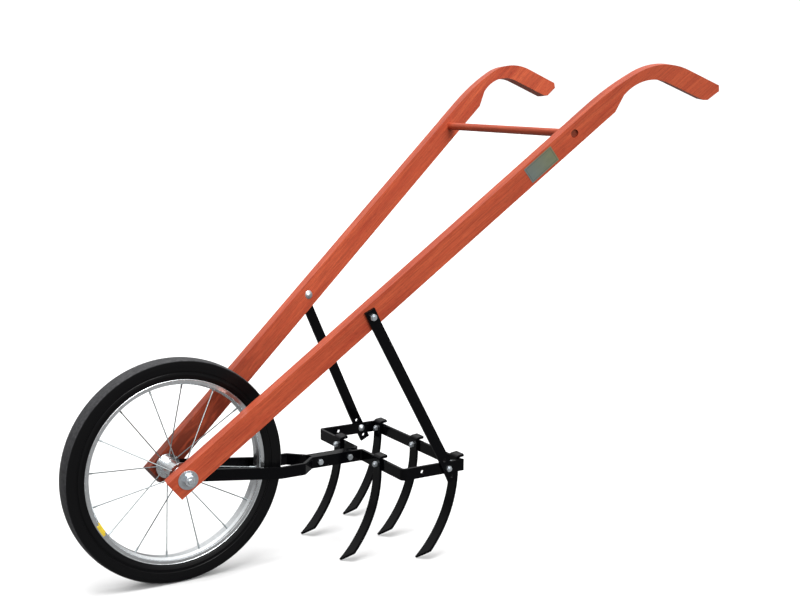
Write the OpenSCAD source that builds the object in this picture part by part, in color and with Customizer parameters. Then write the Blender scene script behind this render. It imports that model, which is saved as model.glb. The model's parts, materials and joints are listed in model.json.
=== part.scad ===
// Hand push garden cultivator: one spoked front wheel, two splayed wooden plow handles
// and a bolted flat-bar gang with five curved tines.
// X runs from the wheel back to the grips, Y across, Z up. The operator's left side is -Y.
// The origin is on the ground, midway between the front of the tyre and the end of the grips.

/* [Wheel] */
// Outside diameter of the tyre
tyre_d = 505; // [480:1:530]
// Width of the tyre at its shoulders
tyre_w = 45; // [40:0.5:50]
// Outside diameter of the rim's lips
rim_d = 415; // [412:1:420]
// Width of the rim over its lips
rim_w = 41.6; // [38:0.1:42]
// Number of spokes, half of them on each hub flange
spoke_count = 16; // [16:2:20]
// Spoke wire diameter
spoke_d = 2.6; // [2:0.1:3]
// Turn of the first spoke from straight back
spoke_turn = 16; // [0:1:22]

/* [Hub] */
// Diameter of the hub flanges
flange_d = 56; // [54:1:64]
// Diameter of the hub barrel
barrel_d = 37; // [36:0.5:40]
// Distance between the hub flanges' outer faces
hub_w = 80; // [78:0.5:80]
// Axle diameter
axle_d = 12.7; // [12:0.1:12.7]
// Ball diameter
ball_d = 6.3; // [6:0.1:6.35]
// Number of balls in each bearing
ball_count = 9; // [7:1:9]

/* [Handles] */
// Width of the handle planks
plank_w = 51; // [46:0.5:56]
// Thickness of the handle planks
plank_t = 27; // [24:0.5:30]
// Upward slope of the handles, in degrees
plank_pitch = 39.8; // [38:0.1:42]
// Outward splay of each handle, in degrees
plank_splay = 9.4; // [9:0.1:10]
// Distance along a plank from the axle to the cross rung
rung_s = 1160; // [1120:1:1180]
// Diameter of the cross rung
rung_d = 19; // [16:0.5:22]
// Distance along a plank from the axle to the brace bolt
brace_s = 537; // [520:0.5:550]

/* [Gang frame] */
// Height of the flat bar that the gang frame is bent from
bar_h = 27; // [25:0.5:30]
// Thickness of all the flat bar
bar_t = 6.35; // [6:0.05:6.4]
// Height of the middle of the gang frame above the ground
gang_z = 222.2; // [217:0.1:228]
// Distance from the axle back to the front crossbar's front face
front_x = 466; // [456:1:476]
// Distance from the axle back to the rear crossbar's front face
rear_x = 626; // [616:1:636]
// Width of the gang frame over its side arms
gang_w = 402; // [390:1:410]
// Distance from the middle to the side arms' spare hole, along X from the axle
spare_x = 520; // [505:1:540]
// Distance from the axle back to the bolts that hold the braces to the side arms
brace_x = 586; // [580:1:598]

/* [Tines] */
// Width of a tine
tine_w = 30; // [27:0.5:33]
// Radius of the front face of a tine's curve
tine_r = 281; // [270:1:320]
// Height at which a tine starts to curve forward
tine_z = 212.5; // [210:0.5:216]
// Distance of the front tines from the middle
front_tine_y = 95; // [90:1:105]
// Distance of the outer rear tines from the middle
rear_tine_y = 175; // [160:1:175]
// Outward lean of the front tines, in degrees
front_toe = 1; // [0:0.1:2]
// Length of the hook that each tine hangs over its crossbar by
hook_l = 15; // [10:0.5:18]
// Length of the slanting cut at a tine's tip
tip_l = 30; // [20:1:36]

/* [Braces] */
// Width of the brace bars
brace_w = 25.4; // [24:0.2:30]
// Distance between the three holes at the bottom of a brace
brace_pitch = 23; // [22:0.1:28]

/* [Hidden] */
$fn = 64;

LEFT = -1;
RIGHT = 1;

axle_z = tyre_d / 2;

// Wheel sections, as radii from the axle
rim_r = rim_d / 2;
lip_r = 1.3;
seat_r = rim_r - 6;
well_r = seat_r - 4.8;
rim_t = 1.6;
spoke_hub_r = 24.5;
spoke_end_r = well_r + 2;
flange_t = 2.5;
flange_in = hub_w / 2 - flange_t;
spoke_y = flange_in - spoke_d / 2 - 0.05;
spoke_tilt = atan2(spoke_y, spoke_end_r - spoke_hub_r);
spoke_l = norm([spoke_y, spoke_end_r - spoke_hub_r]);
nipple_l = 15;

// Bearing, as radii and distances from the wheel's middle plane
barrel_in_r = barrel_d / 2 - 2;
ball_y = 35.2;
ball_pitch_r = 11.3;
ball_gap = 0.04;
cup_race_r = ball_pitch_r + ball_d / 2 + ball_gap;
cone_race_r = ball_pitch_r - ball_d / 2 - ball_gap;
cup_end = 41.2;
cone_end = 41.4;
bar_y = 43;

// Handle plank: s runs along it from the axle, w across it, d out from its inner face
plank_y = 52.5;
plank_start = -34;
hole_up = 0.8;
plank_top = plank_w / 2 - hole_up;
plank_bottom = -plank_w / 2 - hole_up;
cp = cos(plank_pitch);
sp = sin(plank_pitch);
cq = cos(plank_splay);
sq = sin(plank_splay);
grip_drop = 60;
grip_end = [1537, -159];
grip_corner = grip_end - [7, 12];
brace_hole_w = 0;
rung_w = 2.3;

// The whole object runs from the front of the tyre to the lower corner of the grips
grip_x = grip_corner[0] * cq * cp - grip_corner[1] * sp;
mid_x = (grip_x - tyre_d / 2) / 2;

// Gang frame: the bent bars' middle lines
tongue_core = 15.9;
tongue_y = (tongue_core + bar_t) / 2;
bar_mid_y = bar_y + bar_t / 2;
arm_y = (gang_w - bar_t) / 2;
droop_x = 237;
jog_x0 = 297;
jog_x1 = 333;
tongue_end = 446;
front_mid_x = front_x + bar_t / 2;
arm_end_x = rear_x + bar_t + 1.6;
bend_r = 7;
tongue_bolt_x = [355, 434];

// Fasteners
m8_r = 3.95;
m8_hole_r = 4.15;
m8_af = 12.7;
m8_nut_h = 6.9;
m8_head_h = 5.3;
m8_dome_r = 9;
m8_dome_h = 4.2;
m10_r = 4.75;
m10_hole_r = 5;
m10_af = 14.3;
m10_nut_h = 8.3;
m10_dome_r = 10.7;
m10_dome_h = 5;
axle_af = 22.2;
axle_nut_h = 12.3;
washer_t = 2;
washer_r = 22.2;
spare_r = 4.5;

// Brace: its bolt centres on the plank and on the side arm, and what lies between
brace_top_over = 16;
brace_top_pad = 22;
brace_low_pad = brace_pitch + 15.6;
brace_low_over = brace_pitch + 11.5;

RED_WOOD = "#b8442c";
BLACK = "#101012";
ZINC = "#c3c7c9";
CHROME = "#d4d8da";
RUBBER = "#1b1c1e";
YELLOW = "#e0c022";
LABEL = "#a9ae9b";

function arc(c, r, a0, a1, n) = [for (i = [0:n]) let (a = a0 + (a1 - a0) * i / n) c + r * [cos(a), sin(a)]];
function unit(v) = v / norm(v);
function left_of(v) = [-v[1], v[0]];

// A path with its inner corners rounded to radius r: two straight tangents joined by an arc
function corner(a, b, c, r, n = 8) =
    let (u = unit(a - b), v = unit(c - b), half = acos(u * v) / 2, cut = r / tan(half),
         m = b + unit(u + v) * r / sin(half),
         p = b + u * cut - m, q = b + v * cut - m,
         a0 = atan2(p[1], p[0]), turn = atan2(q[1], q[0]) - a0,
         sweep = turn > 180 ? turn - 360 : turn < -180 ? turn + 360 : turn)
    arc(m, r, a0, a0 + sweep, n);
function bent(p, r) = [
    p[0],
    for (i = [1:len(p) - 2]) each corner(p[i - 1], p[i], p[i + 1], r),
    p[len(p) - 1]
];
function heading(p, i) = unit(p[min(i + 1, len(p) - 1)] - p[max(i - 1, 0)]);
function ribbon(p, t) = concat(
    [for (i = [0:len(p) - 1]) p[i] + left_of(heading(p, i)) * t / 2],
    [for (i = [len(p) - 1:-1:0]) p[i] - left_of(heading(p, i)) * t / 2]
);

// ---- placing ----

module in_frame() {
    translate([-mid_x, 0, 0]) children();
}

// Children are made for the right side, and mirrored for the left
module side(s) {
    mirror([0, s == LEFT ? 1 : 0, 0]) children();
}

// Z of the children becomes the wheel axis, pointing to the right
module on_axle(y = 0) {
    translate([0, y, axle_z]) rotate([-90, 0, 0]) children();
}

// Local x, y, z become s, w, d of the right-hand plank
module on_plank() {
    mirror([0, 1, 0])
        translate([0, -plank_y, axle_z]) rotate([0, -plank_pitch, 0]) rotate([0, 0, -plank_splay])
            rotate([90, 0, 0]) children();
}

// Z of the children points across the machine, to the right
module across(x, y, z) {
    translate([x, y, z]) rotate([-90, 0, 0]) children();
}

// Z of the children points back along the machine
module backward(x, y, z) {
    translate([x, y, z]) rotate([0, 90, 0]) children();
}

// ---- fasteners ----

module hex(af, h) {
    cylinder(d = af / cos(30), h = h, $fn = 6);
}

module hex_nut(af, h, r) {
    difference() {
        intersection() {
            hex(af, h);
            chamfered_disc(af, h);
        }
        translate([0, 0, -1]) cylinder(r = r, h = h + 2);
    }
}

module chamfered_disc(af, h) {
    r = af / 2;
    c = af * 0.07;
    rotate_extrude() polygon([[0, 0], [r + c * 1.1, 0], [r + c * 1.1, h - c], [r * 0.97, h], [0, h]]);
}

module hex_bolt(af, head_h, r, l) {
    translate([0, 0, -head_h]) intersection() {
        hex(af, head_h + 0.01);
        translate([0, 0, head_h]) mirror([0, 0, 1]) chamfered_disc(af, head_h);
    }
    cylinder(r = r, h = l);
}

// A shallow domed head below z = 0 and a plain shank above it
module carriage_bolt(head_r, head_h, r, l) {
    dome_r = (head_r * head_r + head_h * head_h) / (2 * head_h);
    intersection() {
        translate([0, 0, dome_r - head_h]) sphere(r = dome_r);
        translate([0, 0, -head_h]) cylinder(r = head_r, h = head_h);
    }
    cylinder(r = r, h = l);
}

module flat_washer(r_out, r_in, t) {
    difference() {
        cylinder(r = r_out, h = t);
        translate([0, 0, -1]) cylinder(r = r_in, h = t + 2);
    }
}

// ---- wheel ----

module tyre() {
    half = tyre_w / 2;
    r = tyre_d / 2;
    crown = 2.6;
    neck = rim_w / 2 - lip_r * 2 - 0.4;
    right = [
        each [for (y = [2:3:20]) [r - crown * (y / half) ^ 2, y]],
        [r - crown * 0.97, half - 0.6], [r - crown - 1, half], [r - crown - 10, half],
        [r - 25.5, half - 0.6], [r - 26.5, half - 1.6], [r - 28.5, half - 1.7], [r - 29.5, half - 0.5],
        [r - 34, half - 0.3], [r - 40, half - 1.5], [rim_r + 2.4, half - 2.2],
        [rim_r + 2, neck], [seat_r + 0.1, neck]
    ];
    left = [for (i = [len(right) - 1:-1:0]) [right[i][0], -right[i][1]]];
    color(RUBBER) on_axle() rotate_extrude($fn = 128) polygon(concat(right, left));
}

module rim_section() {
    y = rim_w / 2 - lip_r;
    polygon([
        [rim_r, y - rim_t / 2], [seat_r, y - rim_t / 2], [seat_r, 13], [well_r, 9],
        [well_r, -9], [seat_r, -13], [seat_r, rim_t / 2 - y], [rim_r, rim_t / 2 - y],
        [rim_r, -rim_t / 2 - y], [seat_r - rim_t, -rim_t / 2 - y], [seat_r - rim_t, -12.4], [well_r - rim_t, -8.4],
        [well_r - rim_t, 8.4], [seat_r - rim_t, 12.4], [seat_r - rim_t, y + rim_t / 2], [rim_r, y + rim_t / 2]
    ]);
    for (s = [-1, 1]) translate([rim_r, s * y]) circle(r = lip_r);
}

module rim() {
    color(CHROME) difference() {
        on_axle() rotate_extrude($fn = 128) rim_section();
        for (k = [0:spoke_count - 1]) along_spoke(k) cylinder(r = 2.15, h = spoke_l + 20, $fn = 24);
    }
}

// Plain colour patch stuck over the rim's left wall and round to its hub side
module rim_label() {
    t = 0.35;
    r0 = rim_r - 1.8;
    r1 = seat_r - rim_t;
    r2 = well_r - rim_t;
    wall = -rim_w / 2 + lip_r - rim_t / 2;
    color(YELLOW) on_axle() rotate([0, 0, 146]) rotate_extrude(angle = 8, $fn = 128) polygon([
        [r0, wall], [r1, wall], [r1, -12.4], [r2, -8.4], [r2, -3],
        [r2 - t, -3], [r2 - t, -8.5], [r1 - t, -12.6], [r1 - t, wall - t], [r0, wall - t]
    ]);
}

// Places children on spoke k, with z running from its elbow out to the rim. Odd spokes are on the right
module along_spoke(k) {
    s = k % 2 == 0 ? LEFT : RIGHT;
    translate([0, 0, axle_z]) rotate([0, -spoke_turn - k * 360 / spoke_count, 0])
        translate([spoke_hub_r, s * spoke_y, 0]) rotate([0, 0, -s * spoke_tilt]) rotate([0, 90, 0]) children();
}

module spoke(k) {
    s = k % 2 == 0 ? LEFT : RIGHT;
    r = spoke_d / 2;
    along_spoke(k) cylinder(r = r, h = spoke_l, $fn = 16);
    translate([0, 0, axle_z]) rotate([0, -spoke_turn - k * 360 / spoke_count, 0])
        translate([spoke_hub_r, s * spoke_y, 0]) {
            sphere(r = r, $fn = 16);
            rotate([-s * 90, 0, 0]) {
                cylinder(r = r, h = hub_w / 2 - spoke_y + 0.5, $fn = 16);
                translate([0, 0, hub_w / 2 - spoke_y]) cylinder(r = r + 1.1, h = 1.1, $fn = 16);
            }
        }
}

module spokes(s) {
    color(ZINC) for (k = [s == LEFT ? 0 : 1:2:spoke_count - 1]) spoke(k);
}

module spoke_nipples() {
    r = spoke_d / 2 + 0.02;
    color(ZINC) for (k = [0:spoke_count - 1]) along_spoke(k) translate([0, 0, spoke_l - nipple_l]) difference() {
        union() {
            cylinder(r = 2.05, h = nipple_l + 1, $fn = 16);
            translate([0, 0, nipple_l]) cylinder(r = 3, h = 1.4, $fn = 16);
        }
        translate([0, 0, -1]) cylinder(r = r, h = nipple_l + 4, $fn = 16);
    }
}

module hub_barrel() {
    color(CHROME) on_axle() difference() {
        cylinder(d = barrel_d, h = hub_w, center = true);
        cylinder(r = barrel_in_r, h = hub_w + 2, center = true);
    }
}

module hub_flange(s) {
    color(CHROME) on_axle() translate([0, 0, s * (flange_in + flange_t / 2)]) difference() {
        union() {
            cylinder(d = flange_d, h = flange_t, center = true);
            translate([0, 0, -s * 2]) cylinder(d = barrel_d + 4, h = flange_t + 3, center = true);
        }
        cylinder(d = barrel_d, h = 30, center = true);
        for (k = [s == LEFT ? 0 : 1:2:spoke_count - 1])
            rotate([0, 0, -spoke_turn - k * 360 / spoke_count]) translate([spoke_hub_r, 0, 0])
                cylinder(r = spoke_d / 2 + 0.1, h = 12, center = true, $fn = 16);
    }
}

module bearing_cup(s) {
    side(s) color(ZINC) on_axle() rotate_extrude() polygon([
        [barrel_in_r, ball_y - 7], [barrel_in_r, hub_w / 2], [barrel_in_r + 3, hub_w / 2],
        [barrel_in_r + 3, cup_end], [cup_race_r, cup_end], [cup_race_r, ball_y - 4],
        [ball_pitch_r + 1, ball_y - 5], [ball_pitch_r + 1, ball_y - 7]
    ]);
}

module bearing_balls(s) {
    side(s) color(CHROME) on_axle() for (i = [0:ball_count - 1])
        rotate([0, 0, i * 360 / ball_count]) translate([ball_pitch_r, 0, ball_y]) sphere(d = ball_d, $fn = 24);
}

module ball_cage(s) {
    side(s) color(ZINC) on_axle() difference() {
        translate([0, 0, ball_y + 1.9]) flat_washer(cup_race_r - 0.4, cone_race_r + 0.4, 0.8);
        for (i = [0:ball_count - 1])
            rotate([0, 0, i * 360 / ball_count]) translate([ball_pitch_r, 0, ball_y])
                cylinder(r = 2.6, h = 6, $fn = 24);
    }
}

module bearing_cone(s) {
    side(s) color(ZINC) on_axle() rotate_extrude() polygon([
        [axle_d / 2 + 0.05, ball_y - 5], [cone_race_r, ball_y - 5], [cone_race_r, ball_y + 3.2],
        [10.6, ball_y + 4], [10.6, cone_end], [axle_d / 2 + 0.05, cone_end]
    ]);
}

// ---- axle ----

// Where the axle's line leaves the outer face of a plank
axle_face_y = plank_y + plank_t / cq;
axle_face_s = plank_t * sq / cq;
nut_y = axle_face_y + washer_t / cq;
axle_half = nut_y + axle_nut_h + 3;

module axle_rod() {
    color(ZINC) on_axle() {
        cylinder(d = axle_d, h = 2 * axle_half - 2.4, center = true);
        for (m = [0, 1]) mirror([0, 0, m]) translate([0, 0, axle_half - 1.2])
            cylinder(d1 = axle_d, d2 = axle_d - 2.4, h = 1.2);
    }
}

// Each nut's seat follows the splayed washer that it is drawn down on
module axle_nuts() {
    color(ZINC) for (s = [LEFT, RIGHT]) side(s) difference() {
        on_axle(nut_y - 3) hex_nut(axle_af, axle_nut_h + 3, axle_d / 2 + 0.02);
        on_plank() translate([0, 0, plank_t + washer_t - 20]) cylinder(r = 40, h = 20);
    }
}

module axle_washers() {
    color(ZINC) for (s = [LEFT, RIGHT]) side(s) difference() {
        on_plank() translate([axle_face_s, 0, plank_t]) cylinder(r = washer_r, h = washer_t);
        on_axle() cylinder(r = axle_d / 2 + 0.4, h = 200);
    }
}

module bar_washers() {
    color(ZINC) for (s = [LEFT, RIGHT]) side(s)
        on_axle(bar_y + bar_t) flat_washer(12.5, axle_d / 2 + 0.1, 1);
}

module axle_spacers() {
    color(ZINC) for (s = [LEFT, RIGHT]) side(s)
        on_axle(cone_end) flat_washer(10, axle_d / 2 + 0.1, bar_y - cone_end);
}

// ---- gang frame ----

// One side of the frame: from its eye on the axle it slopes down behind the tyre, jogs in to the
// tongue, turns out along the front crossbar and back along the side arm
module frame_bar(s) {
    path = bent([
        [jog_x0 - 20, bar_mid_y], [jog_x0, bar_mid_y], [jog_x1, tongue_y],
        [front_mid_x, tongue_y], [front_mid_x, arm_y], [arm_end_x, arm_y]
    ], bend_r);
    side(s) color(BLACK) difference() {
        union() {
            translate([0, bar_mid_y + bar_t / 2, 0]) rotate([90, 0, 0]) linear_extrude(bar_t) draft_outline();
            translate([0, 0, gang_z - bar_h / 2]) linear_extrude(bar_h) polygon(ribbon(path, bar_t));
        }
        across(0, bar_y - 1, axle_z) cylinder(r = axle_d / 2 + 0.1, h = bar_t + 2);
        for (x = tongue_bolt_x) across(x, 0, gang_z) cylinder(r = m8_hole_r, h = 40);
        backward(front_x - 1, front_tine_y, gang_z) cylinder(r = m8_hole_r, h = bar_t + 2);
        across(brace_x, arm_y - bar_t, gang_z) cylinder(r = m8_hole_r, h = bar_t * 2);
        across(spare_x, arm_y - bar_t, gang_z) cylinder(r = spare_r, h = bar_t * 2);
    }
}

// Side view of the eye, the sloping run and the start of the level run
module draft_outline() {
    h = bar_h / 2;
    translate([0, axle_z]) circle(r = h);
    polygon([
        [0, axle_z + h], [droop_x, gang_z + h], [jog_x0 - 12, gang_z + h],
        [jog_x0 - 12, gang_z - h], [droop_x, gang_z - h], [0, axle_z - h]
    ]);
}

module tongue_spacer() {
    x0 = jog_x1 + 4;
    color(BLACK) difference() {
        translate([x0, -tongue_core / 2, gang_z - bar_h / 2]) cube([tongue_end - x0, tongue_core, bar_h]);
        for (x = tongue_bolt_x) across(x, -tongue_core, gang_z) cylinder(r = m8_hole_r, h = 2 * tongue_core);
    }
}

module tongue_bolts() {
    half = tongue_core / 2 + bar_t;
    color(ZINC) for (x = tongue_bolt_x)
        across(x, -half, gang_z) hex_bolt(m8_af, m8_head_h, m8_r, 2 * half + m8_nut_h + 2.5);
}

module tongue_nuts() {
    color(ZINC) for (x = tongue_bolt_x)
        across(x, tongue_core / 2 + bar_t, gang_z) hex_nut(m8_af, m8_nut_h, m8_r + 0.02);
}

// Flat bar welded between the ends of the side arms, with a fillet of weld inside each corner
module rear_crossbar() {
    inner = arm_y - bar_t / 2;
    leg = 4;
    color(BLACK) difference() {
        union() {
            translate([rear_x, -inner, gang_z - bar_h / 2]) cube([bar_t, 2 * inner, bar_h]);
            for (s = [LEFT, RIGHT]) side(s) translate([rear_x, inner, gang_z - bar_h / 2 + 1])
                linear_extrude(bar_h - 2) polygon([[0.1, 0], [-leg, 0], [0.1, -leg]]);
        }
        for (y = [-rear_tine_y, 0, rear_tine_y])
            backward(rear_x - 1, y, gang_z) cylinder(r = m8_hole_r, h = bar_t + 2);
    }
}

// ---- tines ----

// Each tine's place: the front face of its crossbar and its distance across
TINE_PLACES = [
    [front_x, -front_tine_y], [front_x, front_tine_y],
    [rear_x, -rear_tine_y], [rear_x, 0], [rear_x, rear_tine_y]
];

// Side view, with x back from the crossbar's front face: hook, shank and forward curve
module tine_outline() {
    rear_r = tine_r + bar_t;
    tip_a = asin(tine_z / rear_r);
    hook_in = 0.8;
    hook_z = gang_z + bar_h / 2 + 0.2;
    rise = 6;
    centre = [-bar_t - tine_r, tine_z];
    bend = [hook_in, hook_z];
    tail = hook_l * [cos(rise), sin(rise)];
    over = (hook_in + bar_t) * [-sin(rise), cos(rise)];
    under = hook_in * [-sin(rise), cos(rise)];
    polygon(concat(
        arc(centre, tine_r, -tip_a, 0, 24),
        arc(bend, hook_in + bar_t, 180, 90 + rise, 8),
        [bend + over + tail, bend + under + tail],
        arc(bend, hook_in, 90 + rise, 180, 6),
        arc(centre, rear_r, 0, -tip_a, 24)
    ));
}

// The point of every tine is at its right-hand edge
module tine(i) {
    rear_r = tine_r + bar_t;
    tip_a = asin(tine_z / rear_r);
    x = TINE_PLACES[i][0];
    y = TINE_PLACES[i][1];
    toe = x == front_x ? front_toe * sign(y) : 0;
    color(BLACK) translate([0, y, gang_z]) rotate([toe, 0, 0]) translate([0, -y, -gang_z]) difference() {
        translate([x, y + tine_w / 2, 0]) rotate([90, 0, 0]) linear_extrude(tine_w) tine_outline();
        translate([x - rear_r, y + tine_w / 2, tine_z]) rotate([0, tip_a, 0]) translate([rear_r, 0, 0])
            rotate([-atan2(tip_l, tine_w), 0, 0]) translate([-20, -80, -60]) cube([40, 160, 60]);
        backward(x - bar_t - 1, y, gang_z) cylinder(r = m8_hole_r, h = bar_t + 2);
    }
}

module tine_bolts() {
    color(ZINC) for (p = TINE_PLACES)
        translate([p[0] + bar_t, p[1], gang_z]) rotate([0, -90, 0])
            hex_bolt(m8_af, m8_head_h, m8_r, 2 * bar_t + m8_nut_h + 2);
}

module tine_nuts() {
    color(ZINC) for (p = TINE_PLACES)
        translate([p[0] - bar_t, p[1], gang_z]) rotate([0, -90, 0]) hex_nut(m8_af, m8_nut_h, m8_r + 0.02);
}

// ---- braces ----

// A point of the right-hand plank, from its s, w and d
function plank_point(s, w, d) = [
    s * cp * cq - w * sp - d * sq * cp,
    plank_y + s * sq + d * cq,
    axle_z + s * sp * cq + w * cp - d * sq * sp
];
brace_top = plank_point(brace_s, brace_hole_w, plank_t + bar_t / 2);
brace_low = [brace_x, gang_w / 2 + bar_t / 2, gang_z];
brace_run = brace_low - brace_top;
// Direction of the brace as seen square on to the plank, and as seen from the side
brace_on_plank = atan2(
    brace_run * [-sp, 0, cp],
    brace_run * [cp * cq, sq, sp * cq]
);
brace_on_arm = atan2(brace_run[2], brace_run[0]);

// A point of the right-hand brace, from x down the brace, y across it and z out from its seat
function brace_top_point(x, y, z) = plank_point(
    brace_s + x * cos(brace_on_plank) - y * sin(brace_on_plank),
    brace_hole_w + x * sin(brace_on_plank) + y * cos(brace_on_plank),
    plank_t + z
);
function brace_low_point(x, y, z) = [
    brace_x + x * cos(brace_on_arm) - y * sin(brace_on_arm),
    gang_w / 2 + z,
    gang_z + x * sin(brace_on_arm) + y * cos(brace_on_arm)
];
BRACE_CORNERS = [[-1, 0], [1, 0], [1, 1], [-1, 1]];

// One flat bar: a pad along the handle, a twisting run and a pad along the side arm
module brace_bar() {
    h = brace_w / 2;
    points = concat(
        [for (x = [-brace_top_over, brace_top_pad], c = BRACE_CORNERS) brace_top_point(x, c[0] * h, c[1] * bar_t)],
        [for (x = [-brace_low_pad, brace_low_over], c = BRACE_CORNERS) brace_low_point(x, c[0] * h, c[1] * bar_t)]
    );
    sides = [for (i = [0:2], k = [0:3]) let (a = 4 * i + k, b = 4 * i + (k + 1) % 4)
        each [[a, b, b + 4], [a, b + 4, a + 4]]];
    polyhedron(points, concat([[3, 2, 1, 0], [12, 13, 14, 15]], sides));
}

module brace(s) {
    side(s) color(BLACK) difference() {
        brace_bar();
        brace_top_frame() translate([0, 0, -1]) cylinder(r = m10_hole_r, h = bar_t + 2);
        for (i = [-1:1]) brace_low_frame() translate([i * brace_pitch, 0, -1])
            cylinder(r = m8_hole_r, h = bar_t + 2);
    }
}

// x runs down the brace from its bolt, z out from the face that it is bolted to
module brace_top_frame() {
    on_plank() translate([brace_s, brace_hole_w, plank_t]) rotate([0, 0, brace_on_plank]) children();
}

module brace_low_frame() {
    translate([brace_x, gang_w / 2, gang_z]) rotate([0, -brace_on_arm, 0]) rotate([-90, 0, 0]) children();
}

module brace_handle_bolts() {
    color(ZINC) for (s = [LEFT, RIGHT]) side(s) on_plank() translate([brace_s, brace_hole_w, 0])
        carriage_bolt(m10_dome_r, m10_dome_h, m10_r, plank_t + bar_t + m10_nut_h + 2.5);
}

module brace_handle_nuts() {
    color(ZINC) for (s = [LEFT, RIGHT]) side(s) on_plank() translate([brace_s, brace_hole_w, plank_t + bar_t])
        hex_nut(m10_af, m10_nut_h, m10_r + 0.02);
}

module brace_frame_bolts() {
    color(ZINC) for (s = [LEFT, RIGHT]) side(s) across(brace_x, gang_w / 2 - bar_t, gang_z)
        carriage_bolt(m8_dome_r, m8_dome_h, m8_r, 2 * bar_t + m8_nut_h + 2);
}

module brace_frame_nuts() {
    color(ZINC) for (s = [LEFT, RIGHT]) side(s) across(brace_x, gang_w / 2 + bar_t, gang_z)
        hex_nut(m8_af, m8_nut_h, m8_r + 0.02);
}

// ---- handles ----

// Side of a handle: a straight plank, a scalloped step under it, and a grip that curves down
module handle_outline() {
    top_r = 170;
    under_r = 108;
    ease_s = 1235;
    ease_r = 673;
    ease_a = 12;
    top_c = [ease_s + (ease_r - top_r) * sin(ease_a), plank_top - ease_r + (ease_r - top_r) * cos(ease_a)];
    under_c = [1332.5, -7.7 - under_r];
    polygon(concat(
        [[plank_start, plank_top]],
        arc([ease_s, plank_top - ease_r], ease_r, 90, 90 - ease_a, 6),
        arc(top_c, top_r, 90 - ease_a, 90 - grip_drop, 16),
        [grip_end, grip_corner, grip_corner - [37, -3], grip_corner - [47, -11]],
        arc(under_c, under_r, 90 - grip_drop, 99, 16),
        [[1276, plank_bottom], [plank_start, plank_bottom]]
    ));
}

module handle(s) {
    side(s) color(RED_WOOD) difference() {
        on_plank() linear_extrude(plank_t) handle_outline();
        on_axle() cylinder(r = axle_d / 2 + 0.4, h = 200);
        rung_place() cylinder(d = rung_d + 0.1, h = 400);
        on_plank() translate([brace_s, brace_hole_w, -1]) cylinder(r = m10_hole_r, h = plank_t + 2);
    }
}

rung_at = plank_point(rung_s, rung_w, 0);
rung_half = plank_point(rung_s + axle_face_s, rung_w, plank_t)[1] - 3;

module rung_place() {
    across(rung_at[0], 0, rung_at[2]) children();
}

module cross_rung() {
    color(RED_WOOD) rung_place() cylinder(d = rung_d, h = 2 * rung_half, center = true);
}

// Plain blank label on the outside of the left handle
module handle_label() {
    side(LEFT) color(LABEL) on_plank() translate([1016, -20.5, plank_t]) cube([83, 40.5, 0.4]);
}

in_frame() tyre();
in_frame() rim();
in_frame() rim_label();
in_frame() spokes(LEFT);  // spokes_left
in_frame() spokes(RIGHT);  // spokes_right
in_frame() spoke_nipples();
in_frame() hub_barrel();
in_frame() hub_flange(LEFT);  // hub_flange_left
in_frame() hub_flange(RIGHT);  // hub_flange_right
in_frame() bearing_cup(LEFT);  // bearing_cup_left
in_frame() bearing_cup(RIGHT);  // bearing_cup_right
in_frame() bearing_balls(LEFT);  // bearing_balls_left
in_frame() bearing_balls(RIGHT);  // bearing_balls_right
in_frame() ball_cage(LEFT);  // ball_cage_left
in_frame() ball_cage(RIGHT);  // ball_cage_right
in_frame() axle_rod();
in_frame() axle_nuts();
in_frame() axle_washers();
in_frame() bar_washers();
in_frame() bearing_cone(LEFT);  // bearing_cone_left
in_frame() bearing_cone(RIGHT);  // bearing_cone_right
in_frame() axle_spacers();
in_frame() frame_bar(LEFT);  // frame_bar_left
in_frame() frame_bar(RIGHT);  // frame_bar_right
in_frame() tongue_spacer();
in_frame() tongue_bolts();
in_frame() tongue_nuts();
in_frame() rear_crossbar();
in_frame() tine(0);  // tine_front_left
in_frame() tine(1);  // tine_front_right
in_frame() tine(2);  // tine_rear_left
in_frame() tine(3);  // tine_rear_centre
in_frame() tine(4);  // tine_rear_right
in_frame() tine_bolts();
in_frame() tine_nuts();
in_frame() brace(LEFT);  // brace_left
in_frame() brace(RIGHT);  // brace_right
in_frame() brace_handle_bolts();
in_frame() brace_handle_nuts();
in_frame() brace_frame_bolts();
in_frame() brace_frame_nuts();
in_frame() handle(LEFT);  // handle_left
in_frame() handle(RIGHT);  // handle_right
in_frame() cross_rung();
in_frame() handle_label();
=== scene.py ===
import bmesh
import bpy
import json
import math
from mathutils import Matrix, Vector


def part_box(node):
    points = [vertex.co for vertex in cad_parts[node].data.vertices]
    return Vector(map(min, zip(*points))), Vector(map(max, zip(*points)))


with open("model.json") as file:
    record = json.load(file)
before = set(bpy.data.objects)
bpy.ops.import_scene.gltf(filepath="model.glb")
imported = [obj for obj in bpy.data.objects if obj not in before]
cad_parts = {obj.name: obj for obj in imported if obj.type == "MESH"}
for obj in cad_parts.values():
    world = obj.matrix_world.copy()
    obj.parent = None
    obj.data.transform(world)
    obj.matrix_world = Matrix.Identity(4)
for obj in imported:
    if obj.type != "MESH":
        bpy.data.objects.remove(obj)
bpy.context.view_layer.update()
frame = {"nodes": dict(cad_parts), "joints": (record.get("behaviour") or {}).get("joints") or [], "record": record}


def rgb(r, g, b):
    return (r, g, b, 1.0)


nodes = frame["nodes"]
joint = {j["name"]: j for j in frame["joints"]}
AXLE = Vector(joint["wheel_spin"]["pos_m"])
TYRE_R = (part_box("tyre")[1].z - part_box("tyre")[0].z) / 2

# Handle planks, as in the CAD
PITCH = math.radians(39.8)    # upward slope
SPLAY = math.radians(9.4)     # outward splay of each plank
PLANK_Y = 0.0525              # inner face of a plank at the axle

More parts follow.
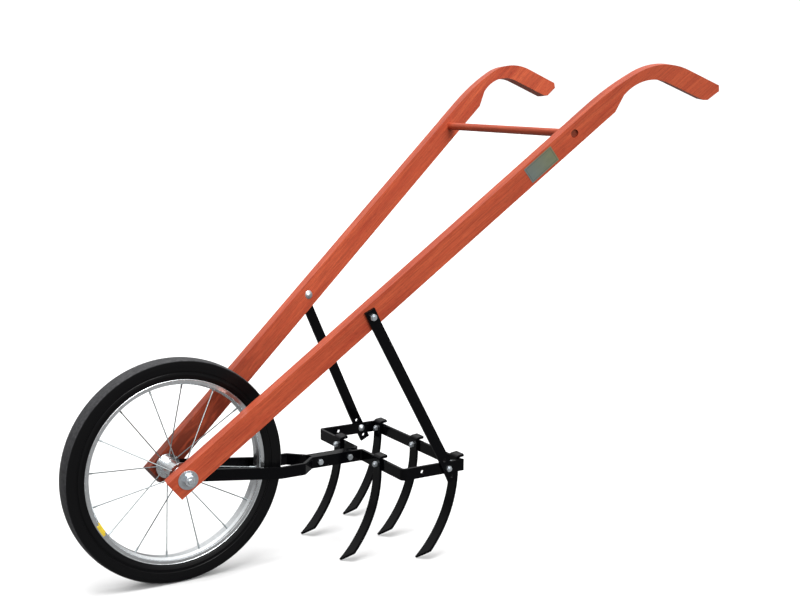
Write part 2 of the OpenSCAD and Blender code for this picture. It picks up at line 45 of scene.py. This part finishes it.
# Stained wood
WOOD_SHEEN = rgb(1.0, 0.72, 0.42)
WOOD_DEEP = rgb(0.41, 0.044, 0.022)
WOOD_LIGHT = rgb(0.63, 0.112, 0.048)
WOOD_STREAK = rgb(0.24, 0.027, 0.016)
WOOD_FIBRE = rgb(0.70, 0.20, 0.085)
WOOD_PORE = rgb(0.15, 0.018, 0.011)
WOOD_PATCH = rgb(0.50, 0.080, 0.036)
# Painted shade for the low end of the far plank, with dark curly grain
WOOD_FIGURE_SHADE = rgb(0.10, 0.014, 0.010)
WOOD_END = rgb(0.085, 0.010, 0.008)
FIGURE_SHADE_RUN = (0.04, 0.50)     # distance from the axle where the painted shade and dark curly figure start to fade and end

# Black enamel, clean and scuffed
ENAMEL = rgb(0.0010, 0.0010, 0.0016)
ENAMEL_SCUFF = rgb(0.014, 0.014, 0.016)

# Tyre
RUBBER_WALL = rgb(0.0016, 0.0016, 0.0020)
RUBBER_TREAD = rgb(0.024, 0.024, 0.026)
RUBBER_DUST = rgb(0.066, 0.066, 0.070)
RUBBER_SCORE = rgb(0.014, 0.014, 0.016)
TREAD_EDGE = (0.0046, 0.0030)  # depth below the tyre's top where the wall ends and the tread starts

# Blank labels
FOIL_LOW = rgb(0.17, 0.205, 0.20)
FOIL_HIGH = rgb(0.21, 0.225, 0.12)
FOIL_DULL = rgb(0.13, 0.15, 0.11)
FOIL_BORDER = rgb(0.08, 0.088, 0.07)
BORDER_INSET = 0.0035
BORDER_HALF = 0.0006
YELLOW = rgb(0.80, 0.60, 0.04)
YELLOW_WORN = rgb(0.62, 0.43, 0.03)

# Plated steels: tint, lowest roughness, mottles per metre, depth of the mottling
RIM_PLATE = ((0.93, 0.96, 0.98), 0.20, 140.0, 0.3)
ZINC_PLATE = ((0.74, 0.79, 0.83), 0.34, 220.0, 0.5)
BEARING = ((0.62, 0.63, 0.65), 0.16, 60.0, 0.3)
SPOKE_WIRE = ((0.40, 0.44, 0.45), 0.26, 200.0, 0.6)

# Edge rounding in metres, by the start of a node's name; the first that fits counts
ROUNDING = (
    ("handle_label", 0), ("handle_", 0.0028), ("cross_rung", 0.0012),
    ("frame_bar", 0.0008), ("tongue_spacer", 0.0006), ("rear_crossbar", 0.0008),
    ("tine_bolts", 0.0004), ("tine_nuts", 0.0003), ("tine_", 0.0009),
    ("brace_handle", 0.0004), ("brace_frame", 0.0004), ("brace_", 0.0008),
    ("tongue_", 0.0004), ("axle_nuts", 0.0006), ("axle_washers", 0.0005),
    ("axle_rod", 0.0004), ("hub_flange", 0.0004),
)
WELD_GAP = 0.000002
FLAT_ANGLE = math.radians(0.6)    # faces closer than this are joined into one
EDGE_ANGLE = math.radians(32)     # edges sharper than this are rounded

# Stage: direction that each sun shines from, strength and width in degrees
SUNS = (
    ("key", (-0.10, -0.2, 0.95), 2.1, 34),
    ("fill", (0.1, -0.9, 0.35), 1.6, 34),
)
SKY_HORIZON, SKY_TOP = 0.15, 1.3
SKY_TOP_Z = 0.9
BACKDROP = 1.15
FLOOR_DARK = rgb(0.80, 0.80, 0.80)
FLOOR_LIGHT = rgb(0.83, 0.83, 0.83)
FLOOR_BOUNCE = rgb(0.13, 0.13, 0.13)
FLOOR_HALF = 30

LENS, SENSOR = 57.29, 36
TURN, TILT, ROLL = math.radians(-31.561), math.radians(9.721), math.radians(0.494)
CAMERA_FROM_AXLE = Vector((-0.9919, -2.5576, 0.8449))


# ---- node helpers ----

def put(tree, socket, value):
    """Joins a socket to a node's output, or sets it to a plain value."""
    if isinstance(value, bpy.types.NodeSocket):
        tree.links.new(value, socket)
    else:
        socket.default_value = value


class Shader:
    """A Principled material under construction: short calls that add and join nodes."""

    def __init__(self, name, **values):
        self.material = bpy.data.materials.new(name)
        self.material.use_nodes = True
        self.tree = self.material.node_tree
        self.tree.nodes.clear()
        out = self.tree.nodes.new("ShaderNodeOutputMaterial")
        self.bsdf = self.tree.nodes.new("ShaderNodeBsdfPrincipled")
        self.tree.links.new(self.bsdf.outputs[0], out.inputs["Surface"])
        for key, value in values.items():
            self.bsdf.inputs[key.replace("_", " ")].default_value = value

    def node(self, kind, inputs=None, **props):
        n = self.tree.nodes.new(kind)
        for key, value in props.items():
            setattr(n, key, value)
        for key, value in (inputs or {}).items():
            put(self.tree, n.inputs[key], value)
        return n

    def local(self, matrix=None):
        """Object coordinates, or those coordinates seen from another frame of axes."""
        co = self.node("ShaderNodeTexCoord").outputs["Object"]
        if matrix is None:
            return co
        given = {"Vector": co, "Location": matrix.to_translation(),
                 "Rotation": matrix.to_euler("XYZ")}
        return self.node("ShaderNodeMapping", given, vector_type="TEXTURE").outputs[0]

    def vector(self, op, a, b):
        return self.node("ShaderNodeVectorMath", {0: a, 1: b}, operation=op).outputs[0]

    def times(self, v, xyz):
        return self.vector("MULTIPLY", v, xyz)

    def split(self, v):
        return self.node("ShaderNodeSeparateXYZ", {0: v}).outputs

    def noise(self, v, scale, detail=3.0, rough=0.55, distortion=0.0):
        given = {"Vector": v, "Scale": scale, "Detail": detail,
                 "Roughness": rough, "Distortion": distortion}
        return self.node("ShaderNodeTexNoise", given).outputs["Fac"]

    def spread(self, f, a, b, lo=0.0, hi=1.0):
        """Stretches the range a to b to lo to hi, and clamps it there."""
        given = {"Value": f, "From Min": a, "From Max": b, "To Min": lo, "To Max": hi}
        return self.node("ShaderNodeMapRange", given).outputs[0]

    def math(self, op, a, b=0.0):
        return self.node("ShaderNodeMath", {0: a, 1: b}, operation=op).outputs[0]

    def mix(self, f, a, b):
        """Colour a where f is 0 and colour b where it is 1."""
        return self.node("ShaderNodeMix", {0: f, 6: a, 7: b}, data_type="RGBA").outputs[2]

    def bump(self, height, strength, distance, normal=None):
        given = {"Height": height, "Strength": strength, "Distance": distance}
        if normal is not None:
            given["Normal"] = normal
        return self.node("ShaderNodeBump", given).outputs[0]

    def set(self, key, socket):
        self.tree.links.new(socket, self.bsdf.inputs[key])


# ---- materials ----

def plank_matrix(side):
    """Axes along, across and through a handle plank, with the origin at the axle."""
    along = Vector((math.cos(SPLAY) * math.cos(PITCH), side * math.sin(SPLAY),
                    math.cos(SPLAY) * math.sin(PITCH)))
    across = Vector((-math.sin(PITCH), 0, math.cos(PITCH)))
    through = along.cross(across)
    m = Matrix((along, across, through)).transposed().to_4x4()
    m.translation = AXLE + Vector((0, side * PLANK_Y, 0))
    return m


def rung_matrix():
    """Axes of the rung: its first axis is the rung's own length."""
    m = Matrix(((0, 1, 0), (0, 0, 1), (1, 0, 0))).transposed().to_4x4()
    m.translation = (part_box("cross_rung")[0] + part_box("cross_rung")[1]) / 2
    return m


def wood(name, matrix, seed, figure_shade=0.0):
    """Red-stained hardwood with its grain along the matrix's first axis.

    seed shifts the grain, so that no two pieces match. The last argument is how dark the painted shade towards the
    low end is, with curly grain in it.
    """
    s = Shader(name, IOR=1.50, Specular_Tint=WOOD_SHEEN)
    v = s.local(matrix)
    shifted = s.vector("ADD", v, (seed, seed * 0.37, seed * 0.11))
    bands = s.noise(s.times(shifted, (1.6, 26, 26)), 2.0, 4.0, 0.6, 0.6)
    streaks = s.noise(s.times(shifted, (5.0, 150, 150)), 2.0, 4.0, 0.65, 0.25)
    fibres = s.noise(s.times(shifted, (22.0, 900, 900)), 1.5, 3.0, 0.6)
    pores = s.noise(s.times(shifted, (30.0, 700, 700)), 2.2, 2.0, 0.5)
    patches = s.noise(shifted, 5.0, 2.0, 0.5)
    colour = s.mix(s.spread(bands, 0.3, 0.7), WOOD_DEEP, WOOD_LIGHT)
    for layer, start, end, most, tint in (
            (streaks, 0.42, 0.66, 0.62, WOOD_STREAK),
            (fibres, 0.45, 0.75, 0.30, WOOD_FIBRE),
            (pores, 0.57, 0.68, 0.60, WOOD_PORE),
            (patches, 0.35, 0.65, 0.22, WOOD_PATCH)):
        colour = s.mix(s.spread(layer, start, end, 0.0, most), colour, tint)
    # Painted shade: darker towards the low end, where the far plank lies in shade, with dark curly grain mixed in
    if figure_shade:
        low = s.spread(s.split(v)[0], *FIGURE_SHADE_RUN, figure_shade, 0.0)
        curls = s.noise(s.times(shifted, (9, 42, 42)), 1.6, 3.0, 0.5, 1.6)
        shade_amount = s.math("MULTIPLY", low, s.spread(curls, 0.36, 0.56, 0.35, 1.0))
        colour = s.mix(shade_amount, colour, WOOD_FIGURE_SHADE)
    # Cut ends drink more stain: they are darker than the long faces
    normal = s.node("ShaderNodeTexCoord").outputs["Normal"]
    given = {0: normal, 1: matrix.to_3x3().col[0]}
    along = s.node("ShaderNodeVectorMath", given, operation="DOT_PRODUCT").outputs["Value"]
    ends = s.spread(s.math("ABSOLUTE", along), 0.8, 0.97)
    colour = s.mix(s.math("MULTIPLY", ends, 0.75), colour, WOOD_END)
    s.set("Base Color", colour)
    s.set("Roughness", s.spread(streaks, 0.3, 0.8, 0.34, 0.52))
    s.set("Normal", s.bump(pores, 0.35, 0.0006, s.bump(fibres, 0.25, 0.0004)))
    return s.material


def black_paint():
    """Gloss black enamel over steel bar, with orange peel and a few dull scuffs."""
    s = Shader("black_paint", IOR=1.24)
    v = s.local()
    peel = s.noise(v, 420.0, 2.0, 0.5)
    waves = s.noise(v, 45.0, 2.0, 0.5)
    scuffs = s.noise(s.times(v, (60, 60, 160)), 3.0, 5.0, 0.7)
    worn = s.math("MULTIPLY", s.spread(scuffs, 0.56, 0.8), 0.35)
    s.set("Base Color", s.mix(worn, ENAMEL, ENAMEL_SCUFF))
    s.set("Roughness", s.spread(scuffs, 0.4, 0.8, 0.10, 0.34))
    s.set("Normal", s.bump(waves, 0.12, 0.002, s.bump(peel, 0.10, 0.0003)))
    return s.material


def plated(name, tint, rough, mottles, depth):
    """Plated or ground steel: slightly mottled, with fine tool marks."""
    s = Shader(name, Metallic=1.0)
    v = s.local()
    mottle = s.noise(v, mottles, 3.0, 0.6)
    marks = s.noise(s.times(v, (900, 900, 2200)), 1.0, 2.0, 0.5)
    dark = rgb(*(c * (1 - 0.28 * depth) for c in tint))
    s.set("Base Color", s.mix(s.spread(mottle, 0.35, 0.7), dark, rgb(*tint)))
    s.set("Roughness", s.spread(mottle, 0.3, 0.75, rough, rough + 0.16 * depth))
    s.set("Normal", s.bump(marks, 0.05 * depth, 0.0001))
    return s.material


def rubber():
    """Tyre: black walls and a greyer, dusty, lightly scored tread."""
    s = Shader("tyre_rubber", IOR=1.28)
    v = s.local()
    flat = s.times(s.vector("SUBTRACT", v, AXLE), (1, 0, 1))
    radius = s.node("ShaderNodeVectorMath", {0: flat}, operation="LENGTH").outputs["Value"]
    tread = s.spread(radius, TYRE_R - TREAD_EDGE[0], TYRE_R - TREAD_EDGE[1])
    grain = s.noise(v, 160.0, 4.0, 0.65)
    scores = s.noise(v, 38.0, 3.0, 0.6)
    grey = s.mix(s.spread(grain, 0.35, 0.7), RUBBER_TREAD, RUBBER_DUST)
    grey = s.mix(s.spread(scores, 0.5, 0.75, 0.0, 0.5), grey, RUBBER_SCORE)
    s.set("Base Color", s.mix(tread, RUBBER_WALL, grey))
    s.set("Roughness", s.spread(tread, 0, 1, 0.30, 0.42))
    s.set("Normal", s.bump(grain, 0.22, 0.0004))
    return s.material


def label_extent(matrix):
    """Lowest and highest corner of the handle label, along and across its plank."""
    inverse = matrix.inverted()
    corners = [inverse @ v.co for v in nodes["handle_label"].data.vertices]
    return tuple(tuple(pick(c[i] for c in corners) for i in range(2)) for pick in (min, max))


def handle_label_material(matrix):
    """Blank foil label: silver-green, greener towards its upper end, with a thin dark border."""
    s = Shader("grey_label", Roughness=0.38, Metallic=0.25)
    v = s.local(matrix)
    lo, hi = label_extent(matrix)
    spot = s.split(v)
    sheen = s.noise(s.times(v, (30, 90, 30)), 1.2, 3.0, 0.5)
    colour = s.mix(s.spread(spot[0], lo[0], hi[0]), FOIL_LOW, FOIL_HIGH)
    colour = s.mix(s.spread(sheen, 0.35, 0.7, 0.0, 0.35), colour, FOIL_DULL)
    past = []
    for axis in (0, 1):
        middle = (lo[axis] + hi[axis]) / 2
        half = (hi[axis] - lo[axis]) / 2 - BORDER_INSET
        off = s.math("ABSOLUTE", s.math("SUBTRACT", spot[axis], middle))
        past.append(s.math("SUBTRACT", off, half))
    edge = s.math("MAXIMUM", *past)
    border = s.math("LESS_THAN", s.math("ABSOLUTE", edge), BORDER_HALF)
    s.set("Base Color", s.mix(s.math("MULTIPLY", border, 0.7), colour, FOIL_BORDER))
    s.set("Normal", s.bump(sheen, 0.1, 0.0003))
    return s.material


def rim_label_material():
    """Blank yellow label with worn patches."""
    s = Shader("yellow_label", Roughness=0.4)
    fade = s.noise(s.local(), 120.0, 3.0, 0.6)
    s.set("Base Color", s.mix(s.spread(fade, 0.35, 0.7), YELLOW, YELLOW_WORN))
    return s.material


LEFT, RIGHT = plank_matrix(-1), plank_matrix(1)
BY_SLOT = {
    "tyre_rubber": rubber(),
    "bright_rim": plated("bright_rim", *RIM_PLATE),
    "zinc_steel": plated("zinc_steel", *ZINC_PLATE),
    "bearing_steel": plated("bearing_steel", *BEARING),
    "black_paint": black_paint(),
    "yellow_label": rim_label_material(),
    "grey_label": handle_label_material(LEFT),
}
# Nodes that differ from the rest of their slot: each wooden piece has its own grain, and the
# spokes are duller wire
BY_NODE = {
    "handle_left": wood("stained_wood_left", LEFT, 0.31),
    # The right handle gets painted shade with curly grain at its low end
    "handle_right": wood("stained_wood_right", RIGHT, 2.87, 0.85),
    "cross_rung": wood("stained_wood_rung", rung_matrix(), 5.13),
    "spokes_left": plated("spoke_wire", *SPOKE_WIRE),
}
BY_NODE["spokes_right"] = BY_NODE["spoke_nipples"] = BY_NODE["spokes_left"]
SLOT = {p["node"]: p["material_slot"] for p in frame["record"]["subparts"]}


def rounded(node, width):
    """Softens a CAD node's hard edges with modifiers, and leaves its mesh alone."""
    weld = node.modifiers.new("weld", "WELD")
    weld.merge_threshold = WELD_GAP
    flat = node.modifiers.new("flat", "DECIMATE")
    flat.decimate_type = "DISSOLVE"
    flat.angle_limit = FLAT_ANGLE
    bevel = node.modifiers.new("bevel", "BEVEL")
    bevel.width = width
    bevel.segments = 3
    bevel.limit_method = "ANGLE"
    bevel.angle_limit = EDGE_ANGLE
    even = node.modifiers.new("even", "WEIGHTED_NORMAL")
    even.mode = "FACE_AREA"
    even.weight = 80


for name, node in nodes.items():
    material = BY_NODE.get(name) or BY_SLOT[SLOT[name]]
    node.data.materials.clear()
    node.data.materials.append(material)
    width = next((w for start, w in ROUNDING if name.startswith(start)), 0)
    if width:
        rounded(node, width)


# ---- stage, light and camera ----

def place(name, data):
    """Puts new data into the scene as an object."""
    thing = bpy.data.objects.new(name, data)
    bpy.context.scene.collection.objects.link(thing)
    return thing


def add_floor():
    """Pale floor. Rays that don't come from the camera meet a darker one, so that it throws
    little light up on the black parts."""
    bm = bmesh.new()
    bmesh.ops.create_grid(bm, x_segments=8, y_segments=8, size=FLOOR_HALF)
    mesh = bpy.data.meshes.new("floor")
    bm.to_mesh(mesh)
    bm.free()
    s = Shader("pale_floor", Roughness=0.9, IOR=1.3)
    shade = s.mix(s.noise(s.local(), 3.0), FLOOR_DARK, FLOOR_LIGHT)
    seen = s.node("ShaderNodeLightPath").outputs["Is Camera Ray"]
    s.set("Base Color", s.mix(seen, FLOOR_BOUNCE, shade))
    mesh.materials.append(s.material)
    place("floor", mesh)


def add_sun(name, toward, strength, width):
    """A very soft distant light that shines from the direction given."""
    data = bpy.data.lights.new(name, "SUN")
    data.energy = strength
    data.angle = math.radians(width)
    light = place(name, data)
    light.rotation_mode = "QUATERNION"
    light.rotation_quaternion = Vector(toward).to_track_quat("Z", "Y")


def add_world():
    """Overhead softbox that fades towards the horizon, in front of a plain white backdrop."""
    world = bpy.data.worlds.new("studio")
    bpy.context.scene.world = world
    world.use_nodes = True
    tree = world.node_tree

    def ramp(value, **ends):
        n = tree.nodes.new("ShaderNodeMapRange")
        put(tree, n.inputs["Value"], value)
        for key, end in ends.items():
            put(tree, n.inputs[key.replace("_", " ")], end)
        return n.outputs[0]

    parts = tree.nodes.new("ShaderNodeSeparateXYZ")
    put(tree, parts.inputs[0], tree.nodes.new("ShaderNodeTexCoord").outputs["Generated"])
    sky = ramp(parts.outputs["Z"], From_Max=SKY_TOP_Z, To_Min=SKY_HORIZON, To_Max=SKY_TOP)
    seen = tree.nodes.new("ShaderNodeLightPath").outputs["Is Camera Ray"]
    background = tree.nodes["Background"]
    background.inputs["Color"].default_value = rgb(1.0, 1.0, 1.0)
    put(tree, background.inputs["Strength"], ramp(seen, To_Min=sky, To_Max=BACKDROP))


def add_camera():
    data = bpy.data.cameras.new("camera")
    data.lens = LENS
    data.sensor_width = SENSOR
    data.clip_start, data.clip_end = 0.05, 200
    back = Vector((math.sin(TURN) * math.cos(TILT), -math.cos(TURN) * math.cos(TILT),
                   math.sin(TILT)))
    level = Vector((math.cos(TURN), math.sin(TURN), 0))
    upright = back.cross(level)
    right = level * math.cos(ROLL) + upright * math.sin(ROLL)
    up = upright * math.cos(ROLL) - level * math.sin(ROLL)
    pose = Matrix((right, up, back)).transposed().to_4x4()
    pose.translation = AXLE + CAMERA_FROM_AXLE
    camera = place("camera", data)
    camera.matrix_world = pose
    bpy.context.scene.camera = camera


add_floor()
for sun in SUNS:
    add_sun(*sun)
add_world()
add_camera()
bpy.context.scene.view_settings.view_transform = "Standard"
